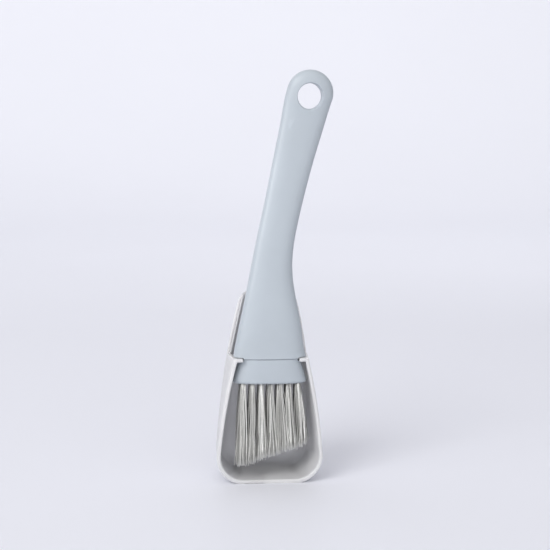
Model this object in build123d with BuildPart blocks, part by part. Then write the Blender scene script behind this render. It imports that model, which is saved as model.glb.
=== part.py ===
from build123d import *
import os
from math import acos, copysign, cos, degrees, pi, radians, sin, tan

# Dustpan and brush that store upright as one set. Millimetres, +Z up.
# The origin lies on the dustpan's flat base, on its centre line, straight below the
# brush's mid-plane. -Y is the front: the dustpan's mouth faces that way, and the brush
# slides out that way.

# ---- driving dimensions: dustpan -------------------------------------------------
MOUTH_Y = -10.2  # front edge of the lip all round the mouth
PAN_DEPTH = 46.0  # mouth to back wall, along the base
PAN_HALF_WIDTH = 36.6  # at the mouth
PAN_NARROWING = 0.082  # lost from the half width for each millimetre of depth
PAN_HEIGHT = 133.0
PAN_BASE_CORNER = 19.0  # radius between base and side wall
PAN_TOP_CORNER = 14.0
MOUTH_SIDE_LEAN = 4.8  # lean of the side wall where it leaves the base corner, degrees
BACK_SIDE_LEAN = 2.0
MOUTH_SIDE_RADIUS = 412.0  # gentle outward bow of the side wall
BACK_SIDE_RADIUS = 845.0
PAN_BACK_LEAN = 7.5  # how far the back wall leans forward, degrees
PAN_BACK_ROUND = 9.0  # outer radius where the back wall meets the sides
PAN_WALL = 2.6
BASE_TRIM = 0.6  # sliced off underneath, which leaves a broad flat base
LIP_ROUND = 1.5  # outer edge of the mouth's lip
LIP_BEVEL = 0.6  # inner edge of the lip

# ---- driving dimensions: tabs, and the dustpan's neck above them -----------------
SEAM_Z = 86.0  # parting line between handle and bristle block
TAB_Z = 85.6
TAB_THICKNESS = 2.0
TAB_TIP_X = 19.4
TAB_LENGTH = 13.0  # along Y, from the mouth backwards
TAB_TIP_GAP = 1.0
TAB_SIDE_GAP = 0.5
LEDGE_Y = 14.0  # above the tabs the side walls are cut back to here
NECK_LIP_Y = 9.3  # a thin lip stands forward of the ledge, beside the brush
NECK_LIP_WIDTH = 0.8
NECK_HALF_WIDTH = 25.6  # inside the lip, level with the top of the tabs
NECK_LEAN = 11.6  # each side's lip leans in at this angle, degrees

# ---- driving dimensions: handle --------------------------------------------------
SECTION_POWER = 2.7  # the handle's cross-section is a superellipse of this power
SECTION_POINTS = 8  # on each quarter of a section
SHELL_WALL = 2.2
NECK_STRAIGHT = 45.8  # the handle rises straight this far above the seam
BEND_RADIUS = 205.0
BEND_ANGLE = 10.9
SWEEP_RADIUS = 1590.0  # long gentle curve above the bend
SWEEP_ANGLE = 3.2
END_STRAIGHT = 8.0
HANGING_HOLE_RADIUS = 8.6
HOLE_SETBACK = 2.0  # the hole lies this far short of the rounded end's centre
HOLE_LIP_RADIUS = 1.6
SEAM_BEVEL = 0.5
# half width and half depth at evenly spaced stations along the spine, from the seam up
HANDLE_STATIONS = (
    (25.0, 10.0),
    (21.4, 9.3),
    (17.4, 8.4),
    (14.1, 7.6),
    (12.7, 7.0),
    (12.5, 6.6),
    (12.9, 6.4),
    (13.6, 6.3),
    (14.6, 6.2),
    (15.6, 6.2),
)
PEG_FRACTIONS = (0.18, 0.50, 0.80)
PEG_RADIUS = 2.0
PEG_LENGTH = 2.5  # beyond the parting plane
SOCKET_WALL = 1.4
SOCKET_GAP = 0.1

# ---- driving dimensions: bristle block, tufts, staples ---------------------------
SEAM_GAP = 0.3
BLOCK_BOTTOM_Z = 68.8
BLOCK_BOTTOM_HALF_WIDTH = 26.0
BLOCK_TOP_HALF_WIDTH = 20.8
BLOCK_HALF_DEPTH = 9.5
BLOCK_ROUND = 2.0
SPIGOT_HALF_WIDTH = 14.0
SPIGOT_HALF_DEPTH = 4.5
FLANGE_OVERHANG = 1.5
FLANGE_THICKNESS = 2.0
TUFT_ROWS = {"front": -4.7, "middle": 0.0, "back": 4.7}
TUFTS_PER_ROW = 7
TUFT_PITCH = 6.2
TUFT_RADIUS = 1.8
ROOT_HALF_WIDTH = 2.1  # the tufts bulge a little where they leave their holes
ROOT_HALF_DEPTH = 2.0
TUFT_CLEARANCE = 0.05
TUFT_HOLE_DEPTH = 8.0
TIP_PITCH = 6.95  # the tufts fan out towards their tips
TIP_CENTRE_X = 2.5
TIP_HALF_WIDTH = 3.3
TIP_HALF_DEPTH = 2.2
TRIM_LOW_Z = 12.0  # flat part of the trimmed bristle edge
TRIM_SLOPE_START_X = -14.2
TRIM_SLOPE = 18.3  # degrees
STAPLE_LENGTH = 4.4
STAPLE_THICKNESS = 0.3
STAPLE_HEIGHT = 1.6

BIG = 400.0  # larger than anything here, for trimming solids


# ---- dustpan ---------------------------------------------------------------------
def pan_plane(depth):
    """Upright plane behind the mouth, leaning forward more the deeper it lies."""
    lean = radians(PAN_BACK_LEAN * max(depth, 0.0) / PAN_DEPTH)
    return Plane(
        origin=(0, MOUTH_Y + depth, 0),
        x_dir=(1, 0, 0),
        z_dir=(0, -cos(lean), -sin(lean)),
    )


def pan_outline(depth, inset, floor):
    """Front outline of the pan at this depth, set in from its outer face."""
    back_share = max(depth, 0.0) / PAN_DEPTH
    half_width = PAN_HALF_WIDTH - PAN_NARROWING * max(depth, 0.0)
    base_radius = PAN_BASE_CORNER - inset
    side_radius = MOUTH_SIDE_RADIUS + (BACK_SIDE_RADIUS - MOUTH_SIDE_RADIUS) * back_share - inset
    top_radius = PAN_TOP_CORNER - inset
    height = PAN_HEIGHT - inset - floor
    first = 90 + MOUTH_SIDE_LEAN + (BACK_SIDE_LEAN - MOUTH_SIDE_LEAN) * back_share
    first_cos = cos(radians(first))
    # the side arc stops where the top corner can finish exactly at the full height
    base_rise = base_radius * (1 - first_cos)
    side_drop = base_rise + side_radius * first_cos + top_radius - height
    last = degrees(acos(side_drop / (side_radius - top_radius)))
    with BuildSketch(pan_plane(depth)) as outline:
        with BuildLine():
            base = Line((0, floor), (half_width - PAN_BASE_CORNER, floor))
            corner = JernArc(base @ 1, base % 1, base_radius, first)
            side = JernArc(corner @ 1, corner % 1, side_radius, last - first)
            shoulder = JernArc(side @ 1, side % 1, top_radius, 180 - last)
            Line(shoulder @ 1, (0, (shoulder @ 1).Y))
            mirror(about=Plane.YZ)
        make_face()
    return outline.sketch


def pan_volume(sections, back_round):
    """Loft through (depth, inset, floor) outlines, with the rear edges rounded."""
    with BuildPart() as volume:
        loft([pan_outline(*section) for section in sections])
        back_face = volume.faces().sort_by(Axis.Y)[-1]
        fillet(back_face.edges(), back_round)
    return volume.part


outer_sections = [(share * PAN_DEPTH, 0.0, -BASE_TRIM) for share in (0, 0.5, 1)]
inner_depth = PAN_DEPTH - PAN_WALL
inner_sections = [(share * inner_depth, PAN_WALL, PAN_WALL) for share in (0, 0.5, 1)]
pan_inner = pan_volume(inner_sections, PAN_BACK_ROUND - 1.0)
with BuildPart() as pan_outer:
    add(pan_volume(outer_sections, PAN_BACK_ROUND))
    fillet(pan_outer.faces().sort_by(Axis.Y)[0].edges(), LIP_ROUND)

# flared plug that bevels the inner edge of the lip: it starts in front of the mouth, and
# narrows at 45 degrees until it is inside the hollow
with BuildPart() as lip_flare:
    flare_sections = []
    for depth in (-2 * LIP_BEVEL, 1.5 * LIP_BEVEL):
        inset = PAN_WALL - LIP_BEVEL + depth
        flare_sections.append(pan_outline(depth, inset, inset))
    loft(flare_sections)


# ---- handle: its spine, sections and cutters -------------------------------------
with BuildLine(Plane.XZ) as spine:
    neck = Line((0, SEAM_Z), (0, SEAM_Z + NECK_STRAIGHT))
    bend = JernArc(neck @ 1, neck % 1, BEND_RADIUS, -BEND_ANGLE)
    sweep_up = JernArc(bend @ 1, bend % 1, SWEEP_RADIUS, -SWEEP_ANGLE)
    Line(sweep_up @ 1, sweep_up @ 1 + (sweep_up % 1) * END_STRAIGHT)
spine_wire = spine.wire()
handle_end = spine_wire @ 1
hole_centre = handle_end - (spine_wire % 1) * HOLE_SETBACK


def section_plane(fraction):
    """Plane square to the handle's spine, local x across the handle, local y to the rear."""
    along = spine_wire % fraction
    return Plane(origin=spine_wire @ fraction, x_dir=(along.Z, 0, -along.X), z_dir=along)


def superellipse_points(half_width, half_depth, first_turn, last_turn, count):
    """Points on a superellipse between two angles given in turns."""
    points = []
    for i in range(count):
        angle = 2 * pi * (first_turn + (last_turn - first_turn) * i / (count - 1))
        across, back = cos(angle), sin(angle)
        points.append((
            half_width * copysign(abs(across) ** (2 / SECTION_POWER), across),
            half_depth * copysign(abs(back) ** (2 / SECTION_POWER), back),
        ))
    return points


def whole_section(height, half_width, half_depth):
    """Whole superellipse section, level, at a height above the base."""
    points = superellipse_points(half_width, half_depth, 0, 1, 4 * SECTION_POINTS)
    with BuildSketch(Plane.XY.offset(height)) as section:
        with BuildLine():
            Spline(*points[:-1], periodic=True)
        make_face()
    return section.sketch


def half_points(half_width, half_depth, side):
    """Points on the front (side -1) or back (side 1) half of a superellipse."""
    return superellipse_points(half_width, half_depth, 0, 0.5 * side, 2 * SECTION_POINTS)


# every half section's spline gets the same parameters, so that lofts between them are smooth
middle_points = half_points(*HANDLE_STATIONS[len(HANDLE_STATIONS) // 3], 1)
chords = [(Vector(*b) - Vector(*a)).length for a, b in zip(middle_points, middle_points[1:])]
half_parameters = [sum(chords[:i]) / sum(chords) for i in range(len(middle_points))]


def half_section(plane, half_width, half_depth, side):
    """Front (side -1) or back (side 1) half of a superellipse section on a plane."""
    points = [Vector(*point) for point in half_points(half_width, half_depth, side)]
    with BuildSketch(plane) as section:
        with BuildLine():
            rim = Edge.make_spline(points, parameters=half_parameters)
            add(rim)
            Line(rim @ 1, rim @ 0)
        make_face()
    return section.sketch


def handle_half(side, inset=0.0):
    """Front or back half of the handle, shrunk by the inset (or swollen, if negative)."""
    last = len(HANDLE_STATIONS) - 1
    sections = [
        half_section(section_plane(i / last), half_width - inset, half_depth - inset, side)
        for i, (half_width, half_depth) in enumerate(HANDLE_STATIONS)
    ]
    # one half of the last section turns about the spine's end to round the handle off
    middle = Plane(origin=handle_end, z_dir=section_plane(1).x_dir)
    turned = split(sections[last], bisect_by=middle, keep=Keep.TOP)
    with BuildPart() as half:
        loft(sections)
        revolve(turned, axis=Axis(handle_end, (0, 1, 0)), revolution_arc=-180)
    return half.part


# ring cutter that bevels the handle's lower edge
seam_half_width, seam_half_depth = HANDLE_STATIONS[0]
with BuildPart() as seam_bevel:
    with Locations((0, 0, SEAM_Z)):
        Box(
            4 * seam_half_width,
            4 * seam_half_depth,
            SEAM_BEVEL,
            align=(Align.CENTER, Align.CENTER, Align.MIN),
        )
    loft(
        [
            whole_section(SEAM_Z, seam_half_width - SEAM_BEVEL, seam_half_depth - SEAM_BEVEL),
            whole_section(SEAM_Z + SEAM_BEVEL, seam_half_width, seam_half_depth),
        ],
        mode=Mode.SUBTRACT,
    )

# cutter for the hanging hole: a cylinder whose ends flare out with a rounded lip
hole_half_depth = HANDLE_STATIONS[-1][1]
hole_wall_half_length = hole_half_depth - HOLE_LIP_RADIUS
with BuildPart() as hole_cutter:
    with BuildSketch(Plane(origin=hole_centre, x_dir=(1, 0, 0), z_dir=(0, 0, 1))):
        with BuildLine():
            wall = Line(
                (HANGING_HOLE_RADIUS, -hole_wall_half_length),
                (HANGING_HOLE_RADIUS, hole_wall_half_length),
            )
            rear = JernArc(wall @ 1, wall % 1, HOLE_LIP_RADIUS, -90)
            front = JernArc(wall @ 0, (0, -1), HOLE_LIP_RADIUS, 90)
            rear_rise = Line(rear @ 1, rear @ 1 + Vector(0, HOLE_LIP_RADIUS))
            front_rise = Line(front @ 1, front @ 1 - Vector(0, HOLE_LIP_RADIUS))
            Polyline(rear_rise @ 1, (0, (rear_rise @ 1).Y), (0, (front_rise @ 1).Y), front_rise @ 1)
        make_face()
    revolve(axis=Axis(hole_centre, (0, 1, 0)))

# cutter for the notches that take the dustpan's tabs, one each side of the brush
notch_height = TAB_THICKNESS + 2 * TAB_SIDE_GAP
with BuildPart() as notch_cutter:
    with BuildSketch(Plane.XZ):
        with Locations((TAB_TIP_X - TAB_TIP_GAP, TAB_Z)):
            notch = Rectangle(PAN_HALF_WIDTH, notch_height, align=(Align.MIN, Align.CENTER))
        fillet(notch.vertices().group_by(Axis.X)[0], 0.4 * notch_height)
        mirror(about=Plane.YZ)
    extrude(amount=BIG / 2, both=True)

post_points = [spine_wire @ fraction for fraction in PEG_FRACTIONS]
post_planes = [Plane(origin=point, x_dir=(1, 0, 0), z_dir=(0, 1, 0)) for point in post_points]
post_radius = PEG_RADIUS + SOCKET_GAP + SOCKET_WALL
cavity_floor_z = SEAM_Z + SHELL_WALL


def handle_shell(side):
    """One hollow half of the handle, with posts for its pegs or sockets."""
    with BuildPart() as cavity:
        add(handle_half(side, SHELL_WALL))
        with Locations(Plane.XY.offset(cavity_floor_z)):
            Box(BIG, BIG, BIG, align=(Align.CENTER, Align.CENTER, Align.MAX), mode=Mode.SUBTRACT)
        with Locations(*post_planes):
            Cylinder(post_radius, BIG, mode=Mode.SUBTRACT)
        with Locations(Plane(origin=hole_centre, x_dir=(1, 0, 0), z_dir=(0, 1, 0))):
            Cylinder(HANGING_HOLE_RADIUS + SHELL_WALL, BIG, mode=Mode.SUBTRACT)
    with BuildPart() as shell:
        add(handle_half(side))
        add(seam_bevel.part, mode=Mode.SUBTRACT)
        add(cavity.part, mode=Mode.SUBTRACT)
        add(hole_cutter.part, mode=Mode.SUBTRACT)
        add(notch_cutter.part, mode=Mode.SUBTRACT)
        with Locations(Plane.XY.offset(SEAM_Z)):
            Box(
                2 * (SPIGOT_HALF_WIDTH + SOCKET_GAP),
                2 * (SPIGOT_HALF_DEPTH + SOCKET_GAP),
                2.5 * SHELL_WALL,
                mode=Mode.SUBTRACT,
            )
    return shell.part


# ---- handle, front half: carries the pegs ----------------------------------------
with BuildPart() as handle_front_shell:
    add(handle_shell(-1))
    with Locations(*post_planes):
        Cylinder(PEG_RADIUS, 2 * PEG_LENGTH)
handle_front_shell.part.label = "handle_front_shell"

# ---- handle, back half: carries the sockets --------------------------------------
with BuildPart() as handle_back_shell:
    add(handle_shell(1))
    with Locations(*post_planes):
        Cylinder(PEG_RADIUS + SOCKET_GAP, 2 * (PEG_LENGTH + SOCKET_GAP), mode=Mode.SUBTRACT)
handle_back_shell.part.label = "handle_back_shell"

# ---- bristle block, tufts and staples --------------------------------------------
tuft_xs = [(i - (TUFTS_PER_ROW - 1) / 2) * TUFT_PITCH for i in range(TUFTS_PER_ROW)]
tuft_roots = [(x, y, BLOCK_BOTTOM_Z) for y in TUFT_ROWS.values() for x in tuft_xs]
hole_radius = TUFT_RADIUS + TUFT_CLEARANCE
staple_rise = TUFT_HOLE_DEPTH - STAPLE_HEIGHT

# flat staples, one driven across each tuft hole; their ends bite into the block
with BuildPart() as tuft_staples:
    with Locations(*tuft_roots):
        with Locations((0, 0, staple_rise)):
            Box(STAPLE_LENGTH, STAPLE_THICKNESS, STAPLE_HEIGHT)
tuft_staples.part.label = "tuft_staples"

block_top_z = SEAM_Z - SEAM_GAP
flange_z = cavity_floor_z + SOCKET_GAP
with BuildPart() as bristle_block:
    loft([
        whole_section(BLOCK_BOTTOM_Z, BLOCK_BOTTOM_HALF_WIDTH, BLOCK_HALF_DEPTH),
        whole_section(block_top_z, BLOCK_TOP_HALF_WIDTH, BLOCK_HALF_DEPTH),
    ])
    fillet(bristle_block.faces().sort_by(Axis.Z)[0].edges(), BLOCK_ROUND)
    add(notch_cutter.part, mode=Mode.SUBTRACT)
    # spigot up into the handle, with a flange that the two shells close over
    with Locations((0, 0, block_top_z)):
        Box(
            2 * SPIGOT_HALF_WIDTH,
            2 * SPIGOT_HALF_DEPTH,
            flange_z - block_top_z,
            align=(Align.CENTER, Align.CENTER, Align.MIN),
        )
    with Locations((0, 0, flange_z)):
        Box(
            2 * (SPIGOT_HALF_WIDTH + FLANGE_OVERHANG),
            2 * (SPIGOT_HALF_DEPTH + FLANGE_OVERHANG),
            FLANGE_THICKNESS,
            align=(Align.CENTER, Align.CENTER, Align.MIN),
        )
    with Locations(*tuft_roots):
        Cylinder(
            hole_radius,
            TUFT_HOLE_DEPTH,
            align=(Align.CENTER, Align.CENTER, Align.MIN),
            mode=Mode.SUBTRACT,
        )
    add(tuft_staples.part, mode=Mode.SUBTRACT)
bristle_block.part.label = "bristle_block"

# everything below the trimmed ends of the bristles: flat, then rising to the right
with BuildPart() as trim_cutter:
    with BuildSketch(Plane.XZ):
        rise = (BIG - TRIM_SLOPE_START_X) * tan(radians(TRIM_SLOPE))
        Polygon(
            (-BIG, -BIG),
            (BIG, -BIG),
            (BIG, TRIM_LOW_Z + rise),
            (TRIM_SLOPE_START_X, TRIM_LOW_Z),
            (-BIG, TRIM_LOW_Z),
            align=None,
        )
    extrude(amount=BIG, both=True)


def make_tuft(index, root_y):
    """One bundle of bristles: a plug in its hole, fanning out below, cut to the trim line."""
    root_x = tuft_xs[index]
    tip_x = TIP_CENTRE_X + (index - (TUFTS_PER_ROW - 1) / 2) * TIP_PITCH
    with BuildPart() as tuft:
        with BuildSketch(Plane.XY.offset(TRIM_LOW_Z)) as tip:
            with Locations((tip_x, root_y)):
                Ellipse(TIP_HALF_WIDTH, TIP_HALF_DEPTH)
        with BuildSketch(Plane.XY.offset(BLOCK_BOTTOM_Z)) as root:
            with Locations((root_x, root_y)):
                Ellipse(ROOT_HALF_WIDTH, ROOT_HALF_DEPTH)
        loft()
        with Locations((root_x, root_y, BLOCK_BOTTOM_Z)):
            Cylinder(
                TUFT_RADIUS,
                TUFT_HOLE_DEPTH - TUFT_CLEARANCE,
                align=(Align.CENTER, Align.CENTER, Align.MIN),
            )
        with Locations((root_x, root_y, BLOCK_BOTTOM_Z + staple_rise)):
            Box(STAPLE_LENGTH, STAPLE_THICKNESS, STAPLE_HEIGHT, mode=Mode.SUBTRACT)
        add(trim_cutter.part, mode=Mode.SUBTRACT)
    return tuft.part


# ---- dustpan ---------------------------------------------------------------------
tab_top_z = TAB_Z + TAB_THICKNESS / 2
above_tabs = Plane.XY.offset(tab_top_z)


def neck_wedge(grown, front_y, back_y):
    """Space between two planes that lean in, from the tabs up, grown sideways."""
    half_width = NECK_HALF_WIDTH + grown
    top_half_width = half_width - PAN_HEIGHT / 2 * tan(radians(NECK_LEAN))
    with BuildPart() as wedge:
        with BuildSketch(Plane.XZ.offset(-front_y)):
            Polygon(
                (-half_width, tab_top_z),
                (half_width, tab_top_z),
                (top_half_width, tab_top_z + PAN_HEIGHT / 2),
                (-top_half_width, tab_top_z + PAN_HEIGHT / 2),
                align=None,
            )
        extrude(amount=front_y - back_y)
    return wedge.part


# hollow of the pan: wide below, where two tabs reach in from the side walls, and
# narrower in the neck above them
with BuildPart() as pan_cavity:
    add(pan_inner)
    add(lip_flare.part)
    with Locations(above_tabs):
        Box(BIG, BIG, BIG, align=(Align.CENTER, Align.CENTER, Align.MIN), mode=Mode.SUBTRACT)
    for side in (-1, 1):
        with Locations((side * TAB_TIP_X, MOUTH_Y, TAB_Z)):
            Box(
                PAN_HALF_WIDTH,
                TAB_LENGTH,
                TAB_THICKNESS,
                align=(Align.MIN if side > 0 else Align.MAX, Align.MIN, Align.CENTER),
                mode=Mode.SUBTRACT,
            )
with BuildPart() as neck_cavity:
    add(pan_inner)
    add(lip_flare.part)
    add(neck_wedge(0, -BIG, BIG), mode=Mode.INTERSECT)

# what is cut away in front of the neck, leaving a thin lip each side
with BuildPart() as neck_front:
    with Locations((0, LEDGE_Y, tab_top_z)):
        Box(BIG, BIG, BIG, align=(Align.CENTER, Align.MAX, Align.MIN))
    add(neck_wedge(NECK_LIP_WIDTH, NECK_LIP_Y, LEDGE_Y), mode=Mode.SUBTRACT)
    add(neck_wedge(0, NECK_LIP_Y, LEDGE_Y))

with BuildPart() as dustpan:
    add(pan_outer.part)
    add(pan_cavity.part, mode=Mode.SUBTRACT)
    add(neck_cavity.part, mode=Mode.SUBTRACT)
    add(neck_front.part, mode=Mode.SUBTRACT)
    # slice the underside flat
    Box(BIG, BIG, BIG, align=(Align.CENTER, Align.CENTER, Align.MAX), mode=Mode.SUBTRACT)
dustpan.part.label = "dustpan"

# ---- export ----------------------------------------------------------------------
os.makedirs("parts", exist_ok=True)
for piece in (dustpan, handle_front_shell, handle_back_shell, bristle_block, tuft_staples):
    export_step(piece.part, f"parts/{piece.part.label}.step")
for row_name, row_y in TUFT_ROWS.items():
    for index in range(TUFTS_PER_ROW):
        tuft_part = make_tuft(index, row_y)
        tuft_part.label = f"tuft_{row_name}_{index + 1}"
        export_step(tuft_part, f"parts/{tuft_part.label}.step")
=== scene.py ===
"""The dustpan and brush in a plain studio: surfaces, bristle strands, floor, lights, camera.

Lengths are in metres. +Z is up, and the dustpan's mouth faces -Y.
"""

import math

import bpy
import numpy as np
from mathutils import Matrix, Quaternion, Vector


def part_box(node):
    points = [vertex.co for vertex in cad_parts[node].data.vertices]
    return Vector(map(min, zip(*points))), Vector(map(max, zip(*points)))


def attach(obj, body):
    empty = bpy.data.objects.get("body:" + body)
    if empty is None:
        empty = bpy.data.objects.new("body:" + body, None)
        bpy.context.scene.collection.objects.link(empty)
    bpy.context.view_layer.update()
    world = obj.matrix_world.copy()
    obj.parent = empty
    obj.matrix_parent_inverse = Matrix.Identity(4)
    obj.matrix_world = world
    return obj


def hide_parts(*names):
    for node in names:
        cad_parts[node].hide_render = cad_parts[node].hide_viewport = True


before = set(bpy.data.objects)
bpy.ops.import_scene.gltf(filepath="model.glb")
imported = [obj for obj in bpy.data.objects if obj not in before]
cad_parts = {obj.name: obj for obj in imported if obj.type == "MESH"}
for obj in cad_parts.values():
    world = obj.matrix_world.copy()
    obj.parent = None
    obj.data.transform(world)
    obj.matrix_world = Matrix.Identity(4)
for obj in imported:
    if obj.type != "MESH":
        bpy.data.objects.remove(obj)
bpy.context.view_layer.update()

MM = 0.001

# ---- colours, sRGB 0-255, turned into the linear values that shaders use ----------
HANDLE_COLOUR = (178, 186, 193)
PAN_COLOUR = (206, 206, 207)
BRISTLE_DARK = (128, 128, 124)
BRISTLE_LIGHT = (250, 250, 246)
STAPLE_COLOUR = (176, 176, 180)
FLOOR_COLOUR = (237, 238, 245)
CUT_TIP_COLOUR = (250, 250, 248)

# ---- surface texture --------------------------------------------------------------
NOISE_SPAN = (0.3, 0.7)  # nearly all of the noise's values lie in this range
PLASTIC_IOR = 1.49
NYLON_IOR = 1.53
CLOUD_SHADES = (0.965, 1.03)  # darkest and lightest patches of the plastic, times its colour
# Painted highlight: convex edges are painted paler, as where they catch the light.
EDGE_SPAN = (0.52, 0.6)  # pointiness at which the painted edge highlight begins and is complete
EDGE_HIGHLIGHT_SHARE = 0.35
EDGE_HIGHLIGHT_GAIN = 1.18

# ---- bristles ---------------------------------------------------------------------
TUFT_ROWS = ("front", "middle", "back")
TUFTS_PER_ROW = 7
STRANDS_PER_TUFT = 42
STRAND_RADIUS = 0.25 * MM
STRAND_SIDES = 6
STRAND_RINGS = 9
ROOT_SINK = 2.0 * MM  # how far each strand runs up inside its hole
ROOT_RADIUS = 1.55 * MM  # strands' centres at the hole
ROOT_SHARE = 0.03  # part of each strand that stays straight inside its hole
TIP_FILL = 0.95  # how much of the cut end the tips fill
TIP_NARROWING = 0.62
TIP_SPREAD_X = 1.1 * MM
TIP_SPREAD_Y = 0.6 * MM
TRIM_MEAN = 0.2 * MM  # strands end this far above the trimmed edge, on average
TRIM_SPREAD = 0.8 * MM
STRAY_SHARE = 0.1
STRAY_SPREAD = 2.4 * MM
BOW_SPREAD = 0.7 * MM
SHADE_WEIGHTS = (1.1, 0.9)  # dark against light strands
CUT_END_DEPTH = 3.5 * MM  # slice of a CAD tuft that holds its whole cut end
HOLE_MARGIN = 0.2 * MM
TRIM_SLOPE = math.tan(math.radians(18.3))

# ---- floor sheet ------------------------------------------------------------------
FLOOR_HALF_WIDTH = 6.0
FLOOR_FRONT = -4.0
FLOOR_BEND_START = 1.6
FLOOR_BEND_RADIUS = 1.2
FLOOR_BEND_STEPS = 16
FLOOR_TOP = 4.0

# ---- camera and light -------------------------------------------------------------
WORLD_COLOUR = (0.985, 0.985, 1.0, 1.0)
WORLD_BASE = 0.53
WORLD_SIDE_LOSS = 0.30
WORLD_FRONT_GAIN = 0.50
WORLD_TOP_GAIN = 0.14
CAMERA_AZIMUTH = math.radians(-8.0)
CAMERA_ELEVATION = math.radians(8.0)
CAMERA_ROLL = math.radians(0.8)
CAMERA_LENS = 100.0
CAMERA_DISTANCE = 1.034
CAMERA_NEAR = 0.01
CAMERA_TARGET = Vector((0.0029, 0.0, 0.1425))


def linear(colour):
    """sRGB 0-255 to linear RGBA."""
    channels = []
    for value in colour:
        v = value / 255
        channels.append(v / 12.92 if v <= 0.04045 else ((v + 0.055) / 1.055) ** 2.4)
    return (*channels, 1.0)


# ---- materials --------------------------------------------------------------------
class Shader:
    """A node material under construction: makes nodes and joins them."""

    def __init__(self, name):
        self.material = bpy.data.materials.new(name)
        self.material.use_nodes = True
        self.tree = self.material.node_tree
        self.principled = self.tree.nodes["Principled BSDF"]

    def node(self, kind, **settings):
        made = self.tree.nodes.new(kind)
        for key, value in settings.items():
            setattr(made, key, value)
        return made

    def join(self, source, target):
        self.tree.links.new(source, target)

    def noise(self, scale, detail):
        """Noise in object space, so that its scale is per metre."""
        place = self.node("ShaderNodeTexCoord")
        noise = self.node("ShaderNodeTexNoise")
        noise.inputs["Scale"].default_value = scale
        noise.inputs["Detail"].default_value = detail
        self.join(place.outputs["Object"], noise.inputs["Vector"])
        return noise.outputs["Fac"]

    def span(self, value, source, target):
        """The value carried from one range to another."""
        made = self.node("ShaderNodeMapRange")
        made.inputs["From Min"].default_value, made.inputs["From Max"].default_value = source
        made.inputs["To Min"].default_value, made.inputs["To Max"].default_value = target
        self.join(value, made.inputs["Value"])
        return made.outputs["Result"]

    def patches(self, scale, detail, target=(0.0, 1.0)):
        """Soft patches whose value runs over the target range."""
        return self.span(self.noise(scale, detail), NOISE_SPAN, target)

    def mix(self, share, first, second):
        """Colour between two, by a share from 0 to 1."""
        made = self.node("ShaderNodeMix", data_type="RGBA")
        for socket, value in ((0, share), (6, first), (7, second)):
            if hasattr(value, "is_output"):
                self.join(value, made.inputs[socket])
            else:
                made.inputs[socket].default_value = value
        return made.outputs[2]

    def bump(self, height, strength, distance, under=None):
        made = self.node("ShaderNodeBump")
        made.inputs["Strength"].default_value = strength
        made.inputs["Distance"].default_value = distance
        self.join(height, made.inputs["Height"])
        if under is not None:
            self.join(under, made.inputs["Normal"])
        return made.outputs["Normal"]


def scaled(colour, factor):
    """Linear RGBA colour made darker or lighter."""
    return (*(min(c * factor, 1.0) for c in colour[:3]), 1.0)


def moulded_plastic(name, colour, roughness, grain, subsurface, depth):
    """Moulded plastic: faint cloudiness, a fine grain from the mould, and a painted highlight: convex
    edges painted paler, as where they catch the light.

    Subsurface is the share of light that enters, and depth is how far it then travels.
    """
    shader = Shader(name)
    base = linear(colour)
    dark, light = CLOUD_SHADES
    cloud = shader.patches(scale=28.0, detail=3.0)
    body = shader.mix(cloud, scaled(base, dark), scaled(base, light))
    # painted highlight: edges found by pointiness are mixed towards a paler copy of the colour
    edge = shader.node("ShaderNodeNewGeometry").outputs["Pointiness"]
    edge_highlight = shader.span(edge, EDGE_SPAN, (0.0, EDGE_HIGHLIGHT_SHARE))
    shader.join(shader.mix(edge_highlight, body, scaled(base, EDGE_HIGHLIGHT_GAIN)), shader.principled.inputs["Base Color"])
    gloss = shader.patches(scale=160.0, detail=5.0, target=(roughness - 0.04, roughness + 0.05))
    shader.join(gloss, shader.principled.inputs["Roughness"])
    swell = shader.bump(shader.noise(scale=45.0, detail=1.0), strength=0.06, distance=0.4 * MM)
    fine_noise = shader.noise(scale=3200.0, detail=2.0)
    fine = shader.bump(fine_noise, strength=grain, distance=0.03 * MM, under=swell)
    shader.join(fine, shader.principled.inputs["Normal"])
    shader.principled.inputs["IOR"].default_value = PLASTIC_IOR
    shader.principled.inputs["Subsurface Weight"].default_value = subsurface
    shader.principled.inputs["Subsurface Radius"].default_value = (1.0, 1.0, 1.0)
    shader.principled.inputs["Subsurface Scale"].default_value = depth
    return shader.material


def bristle_nylon():
    """Nylon strands: each its own shade, streaked along its length, paler at the cut tip."""
    shader = Shader("bristle_nylon")
    shade = shader.node("ShaderNodeAttribute", attribute_name="strand_shade").outputs["Fac"]
    along = shader.node("ShaderNodeAttribute", attribute_name="strand_along").outputs["Fac"]
    streak = shader.patches(scale=900.0, detail=3.0, target=(0.93, 1.05))
    body = shader.mix(shade, linear(BRISTLE_DARK), linear(BRISTLE_LIGHT))
    near_tip = shader.span(along, (0.94, 1.0), (0.0, 0.6))
    tip = shader.mix(near_tip, body, linear(CUT_TIP_COLOUR))
    tone = shader.node("ShaderNodeHueSaturation")
    shader.join(tip, tone.inputs["Color"])
    shader.join(streak, tone.inputs["Value"])
    shader.join(tone.outputs["Color"], shader.principled.inputs["Base Color"])
    shader.join(shader.span(shade, (0.0, 1.0), (0.34, 0.5)), shader.principled.inputs["Roughness"])
    shader.principled.inputs["IOR"].default_value = NYLON_IOR
    rough = shader.bump(shader.noise(scale=2600.0, detail=2.0), strength=0.2, distance=0.02 * MM)
    shader.join(rough, shader.principled.inputs["Normal"])
    return shader.material


def staple_steel():
    """Drawn steel wire with faint streaks."""
    shader = Shader("staple_steel")
    base = linear(STAPLE_COLOUR)
    streak = shader.patches(scale=700.0, detail=4.0)
    shader.join(shader.mix(streak, scaled(base, 0.85), base), shader.principled.inputs["Base Color"])
    shader.principled.inputs["Metallic"].default_value = 1.0
    shader.join(shader.span(streak, (0.0, 1.0), (0.28, 0.4)), shader.principled.inputs["Roughness"])
    return shader.material


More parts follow.
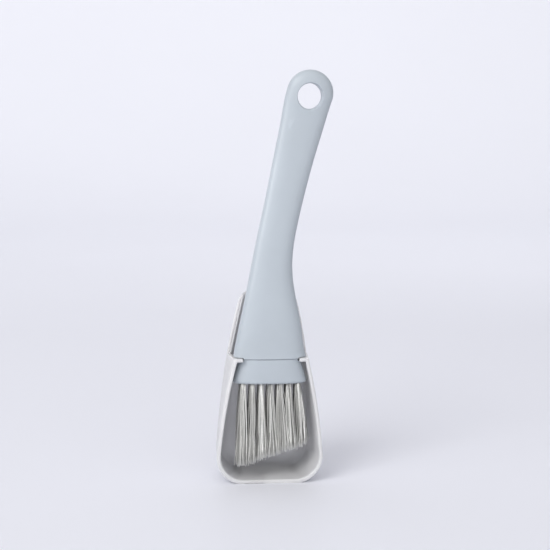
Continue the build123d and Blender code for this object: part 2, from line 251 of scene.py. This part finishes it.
def floor_paper():
    """Plain pale matt floor."""
    shader = Shader("floor_paper")
    base = linear(FLOOR_COLOUR)
    cloud = shader.patches(scale=3.0, detail=2.0)
    shader.join(shader.mix(cloud, scaled(base, 0.99), base), shader.principled.inputs["Base Color"])
    shader.principled.inputs["Roughness"].default_value = 0.5
    shader.principled.inputs["Specular IOR Level"].default_value = 0.12
    return shader.material


handle_plastic = moulded_plastic(
    "handle_plastic", HANDLE_COLOUR, roughness=0.4, grain=0.22, subsurface=0.04, depth=1.2 * MM
)
pan_plastic = moulded_plastic(
    "pan_plastic", PAN_COLOUR, roughness=0.36, grain=0.12, subsurface=1.0, depth=8.0 * MM
)
nylon = bristle_nylon()


def dress(node, material):
    """Gives a CAD node's object one material."""
    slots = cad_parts[node].data.materials
    slots.clear()
    slots.append(material)


dress("dustpan", pan_plastic)
for node in ("handle_front_shell", "handle_back_shell", "bristle_block"):
    dress(node, handle_plastic)
dress("tuft_staples", staple_steel())


# ---- bristles ---------------------------------------------------------------------
trim_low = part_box("tuft_front_1")[0].z
last_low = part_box(f"tuft_front_{TUFTS_PER_ROW}")[0]
slope_start = last_low.x - (last_low.z - trim_low) / TRIM_SLOPE


def trim_height(x):
    """Height of the trimmed bristle edge: flat on the left, rising to the right."""
    return trim_low + np.maximum(x - slope_start, 0.0) * TRIM_SLOPE


def tuft_ends(node):
    """Centre of a tuft's root in its hole, and centre and half sizes of its cut end."""
    points = np.array([v.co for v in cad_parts[node].data.vertices])
    block_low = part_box("bristle_block")[0].z
    root = points[points[:, 2] > block_low + HOLE_MARGIN].mean(0)
    end = points[points[:, 2] < points[:, 2].min() + CUT_END_DEPTH]
    centre = (end.min(0) + end.max(0)) / 2
    half = (end.max(0) - end.min(0)) / 2
    return np.array((root[0], root[1], block_low)), centre, half


def strand_paths(rng, root, centre, half):
    """Centre lines of one tuft's strands, as (strand, ring, xyz)."""
    count = STRANDS_PER_TUFT
    angle = rng.uniform(0, 2 * math.pi, count)
    reach = np.sqrt(rng.uniform(0, 1, count))
    starts = np.stack([
        root[0] + ROOT_RADIUS * reach * np.cos(angle),
        root[1] + ROOT_RADIUS * reach * np.sin(angle),
        np.full(count, root[2] + ROOT_SINK),
    ], axis=1)
    stray = (rng.uniform(0, 1, count) < STRAY_SHARE) * rng.normal(0, STRAY_SPREAD, count)
    spread_x = rng.normal(0, TIP_SPREAD_X, count)
    tip_x = centre[0] + half[0] * reach * np.cos(angle) * TIP_FILL + spread_x + stray
    spread_y = rng.normal(0, TIP_SPREAD_Y, count)
    tip_y = centre[1] + half[1] * reach * np.sin(angle) * TIP_FILL + spread_y
    tip_z = trim_height(tip_x) + rng.normal(TRIM_MEAN, TRIM_SPREAD, count)
    tips = np.stack([tip_x, tip_y, tip_z], axis=1)
    bow = rng.normal(0, BOW_SPREAD, (count, 2))
    share = np.linspace(0, 1, STRAND_RINGS)
    leave = np.clip((share - ROOT_SHARE) / (1 - ROOT_SHARE), 0, 1)
    across = starts[:, None, :2] + (tips - starts)[:, None, :2] * leave[None, :, None]
    across += bow[:, None, :] * np.sin(math.pi * leave)[None, :, None]
    height = starts[:, 2, None] + (tips - starts)[:, 2, None] * share[None, :]
    return np.concatenate([across, height[:, :, None]], axis=2)


def strand_tubes(paths):
    """Closed tubes along the centre lines: vertices, faces and each vertex's place along."""
    count = len(paths)
    turn = np.arange(STRAND_SIDES) * 2 * math.pi / STRAND_SIDES
    rim = np.stack([np.cos(turn), np.sin(turn), np.zeros(STRAND_SIDES)], axis=1) * STRAND_RADIUS
    narrowing = np.ones(STRAND_RINGS)
    narrowing[-1] = TIP_NARROWING
    tubes = paths[:, :, None, :] + rim[None, None] * narrowing[None, :, None, None]
    vertices = tubes.reshape(-1, 3)
    faces = []
    per_strand = STRAND_RINGS * STRAND_SIDES
    for strand in range(count):
        base = strand * per_strand
        for ring in range(STRAND_RINGS - 1):
            low = base + ring * STRAND_SIDES
            for side in range(STRAND_SIDES):
                after = (side + 1) % STRAND_SIDES
                faces.append((
                    low + side,
                    low + STRAND_SIDES + side,
                    low + STRAND_SIDES + after,
                    low + after,
                ))
        faces.append(tuple(base + side for side in range(STRAND_SIDES)))
        last = base + per_strand - STRAND_SIDES
        faces.append(tuple(last + side for side in reversed(range(STRAND_SIDES))))
    along = np.tile(np.repeat(np.linspace(0, 1, STRAND_RINGS), STRAND_SIDES), count)
    return vertices, faces, along


def make_bristles(name, node, rng):
    """One tuft as separate strands, standing for the CAD tuft."""
    root, centre, half = tuft_ends(node)
    paths = strand_paths(rng, root, centre, half)
    vertices, faces, along = strand_tubes(paths)
    mesh = bpy.data.meshes.new(name)
    mesh.from_pydata(vertices.tolist(), [], faces)
    mesh.update()
    shades = np.repeat(rng.beta(*SHADE_WEIGHTS, len(paths)), STRAND_RINGS * STRAND_SIDES)
    for label, values in (("strand_shade", shades), ("strand_along", along)):
        attribute = mesh.attributes.new(label, "FLOAT", "POINT")
        attribute.data.foreach_set("value", values.astype(np.float32))
    mesh.shade_smooth()
    mesh.materials.append(nylon)
    bristles = bpy.data.objects.new(name, mesh)
    bpy.context.scene.collection.objects.link(bristles)
    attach(bristles, "brush")
    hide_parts(node)


for row_number, row in enumerate(TUFT_ROWS):
    for index in range(1, TUFTS_PER_ROW + 1):
        rng = np.random.default_rng(100 * row_number + index)
        make_bristles(f"bristles_{row}_{index}", f"tuft_{row}_{index}", rng)


# ---- floor, backdrop, light, camera -----------------------------------------------
def make_floor():
    """A sheet that lies flat, then curves up far behind the object."""
    profile = [(FLOOR_FRONT, 0.0), (FLOOR_BEND_START, 0.0)]
    for step in range(1, FLOOR_BEND_STEPS + 1):
        angle = step / FLOOR_BEND_STEPS * math.pi / 2
        y = FLOOR_BEND_START + FLOOR_BEND_RADIUS * math.sin(angle)
        profile.append((y, FLOOR_BEND_RADIUS * (1 - math.cos(angle))))
    profile.append((FLOOR_BEND_START + FLOOR_BEND_RADIUS, FLOOR_TOP))
    vertices = [(x, y, z) for y, z in profile for x in (-FLOOR_HALF_WIDTH, FLOOR_HALF_WIDTH)]
    faces = [(2 * i, 2 * i + 1, 2 * i + 3, 2 * i + 2) for i in range(len(profile) - 1)]
    mesh = bpy.data.meshes.new("floor")
    mesh.from_pydata(vertices, [], faces)
    mesh.shade_smooth()
    mesh.materials.append(floor_paper())
    floor = bpy.data.objects.new("floor", mesh)
    bpy.context.scene.collection.objects.link(floor)


def make_light(name, kind, place, target, power, colour=(1.0, 1.0, 1.0)):
    """A light aimed at a target; its data is returned, for the settings of its kind."""
    data = bpy.data.lights.new(name, kind)
    data.energy = power
    data.color = colour
    light = bpy.data.objects.new(name, data)
    bpy.context.scene.collection.objects.link(light)
    light.location = place
    light.rotation_mode = "QUATERNION"
    light.rotation_quaternion = (Vector(target) - Vector(place)).to_track_quat("-Z", "Y")
    return data


def make_key_light():
    """Large soft light, high in front on the left."""
    key = make_light(
        "key", "AREA", place=(-3.1, -3.6, 3.1), target=(0, 0, 0.12), power=160.0, colour=(1.0, 0.99, 0.98)
    )
    key.shape = "DISK"
    key.size = 3.4


def make_backdrop_light():
    """Faces away from the object and lights only the sheet behind it."""
    backdrop = make_light("backdrop", "AREA", place=(0.5, 1.0, 1.1), target=(0.5, 2.6, 0.5), power=2.4)
    backdrop.shape = "DISK"
    backdrop.size = 1.0


def make_handle_light():
    """Narrow soft beam from the left that brightens the handle's left side."""
    beam = make_light("handle_light", "SPOT", place=(-1.25, -0.5, 0.38), target=(0.01, 0, 0.2), power=22.0)
    beam.spot_size = math.radians(13.0)
    beam.spot_blend = 1.0
    beam.shadow_soft_size = 0.12


def make_world():
    """Soft studio surround: brighter in front and overhead, dimmer to the sides."""
    world = bpy.data.worlds.new("studio")
    world.use_nodes = True
    tree = world.node_tree
    background = tree.nodes["Background"]
    background.inputs["Color"].default_value = WORLD_COLOUR
    way = tree.nodes.new("ShaderNodeTexCoord").outputs["Generated"]
    split = tree.nodes.new("ShaderNodeSeparateXYZ")
    tree.links.new(way, split.inputs["Vector"])
    strength = tree.nodes.new("ShaderNodeValue").outputs[0]
    strength.default_value = WORLD_BASE
    for axis, operation, weight in (
        ("X", "ABSOLUTE", -WORLD_SIDE_LOSS),
        ("Y", "MINIMUM", -WORLD_FRONT_GAIN),
        ("Z", "MAXIMUM", WORLD_TOP_GAIN),
    ):
        part = tree.nodes.new("ShaderNodeMath")
        part.operation = operation
        part.inputs[1].default_value = 0.0
        tree.links.new(split.outputs[axis], part.inputs[0])
        total = tree.nodes.new("ShaderNodeMath")
        total.operation = "MULTIPLY_ADD"
        total.inputs[1].default_value = weight
        tree.links.new(part.outputs[0], total.inputs[0])
        tree.links.new(strength, total.inputs[2])
        strength = total.outputs[0]
    tree.links.new(strength, background.inputs["Strength"])
    bpy.context.scene.world = world


def make_camera():
    """Camera a little to the left of straight on and a little above, rolled slightly."""
    data = bpy.data.cameras.new("camera")
    data.lens = CAMERA_LENS
    data.clip_start = CAMERA_NEAR
    camera = bpy.data.objects.new("camera", data)
    bpy.context.scene.collection.objects.link(camera)
    back = Vector((
        math.sin(CAMERA_AZIMUTH) * math.cos(CAMERA_ELEVATION),
        -math.cos(CAMERA_AZIMUTH) * math.cos(CAMERA_ELEVATION),
        math.sin(CAMERA_ELEVATION),
    ))
    camera.location = CAMERA_TARGET + back * CAMERA_DISTANCE
    camera.rotation_mode = "QUATERNION"
    look = (-back).to_track_quat("-Z", "Y")
    camera.rotation_quaternion = look @ Quaternion((0, 0, 1), CAMERA_ROLL)
    bpy.context.scene.camera = camera


make_floor()
make_world()
make_key_light()
make_backdrop_light()
make_handle_light()
make_camera()
bpy.context.scene.view_settings.view_transform = "Standard"
